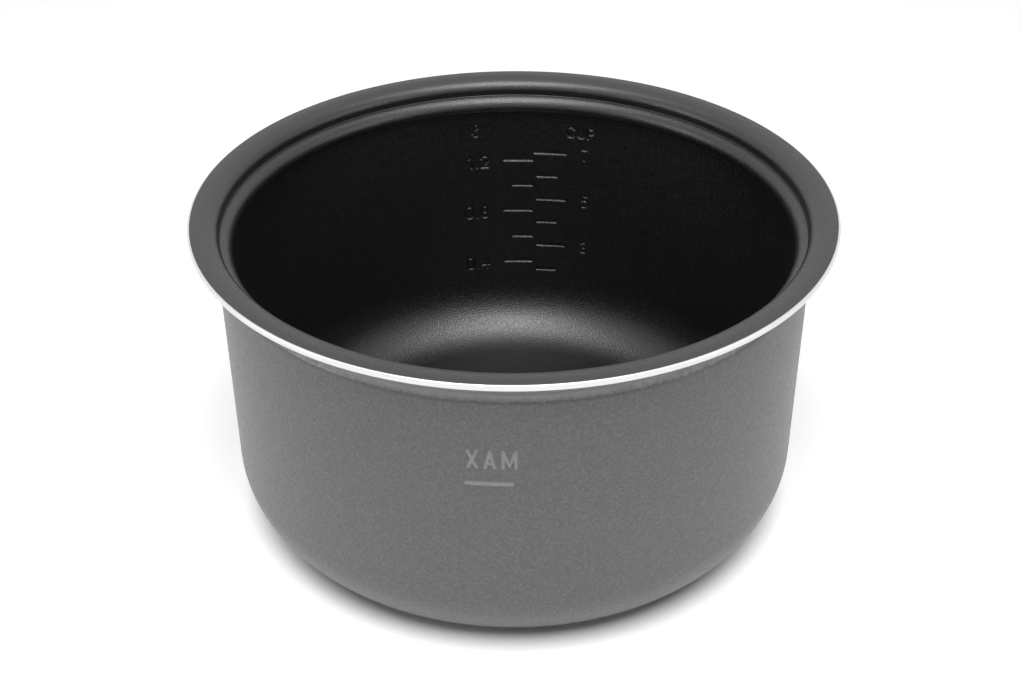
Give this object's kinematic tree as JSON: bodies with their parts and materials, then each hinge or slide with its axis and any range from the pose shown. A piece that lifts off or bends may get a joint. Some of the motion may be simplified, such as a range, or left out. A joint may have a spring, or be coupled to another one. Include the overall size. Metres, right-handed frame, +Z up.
{
  "type": "rice cooker inner pot",
  "caption": "Deep-drawn round cooking pot with a flat flange, a rolled bead under the rim, a straight wall, a rounded bottom corner and a flat base, lined inside and coated outside.",
  "frame": {"origin": "centre of the base, on the surface the pot stands on", "axes": "+Z up along the pot's axis; +Y towards the wall that carries the measuring scale, -Y towards the fill mark"},
  "size_m": [0.216, 0.216, 0.1138],
  "materials": {
    "bare_aluminium": "turned, bright",
    "nonstick_lining": "satin, finely speckled",
    "outer_coat": "satin metallic grey, fine orange peel"
  },
  "bodies": {
    "root": {"pressed_shell": "bare_aluminium", "nonstick_lining": "nonstick_lining", "outer_coat": "outer_coat"}
  },
  "joints": []
}
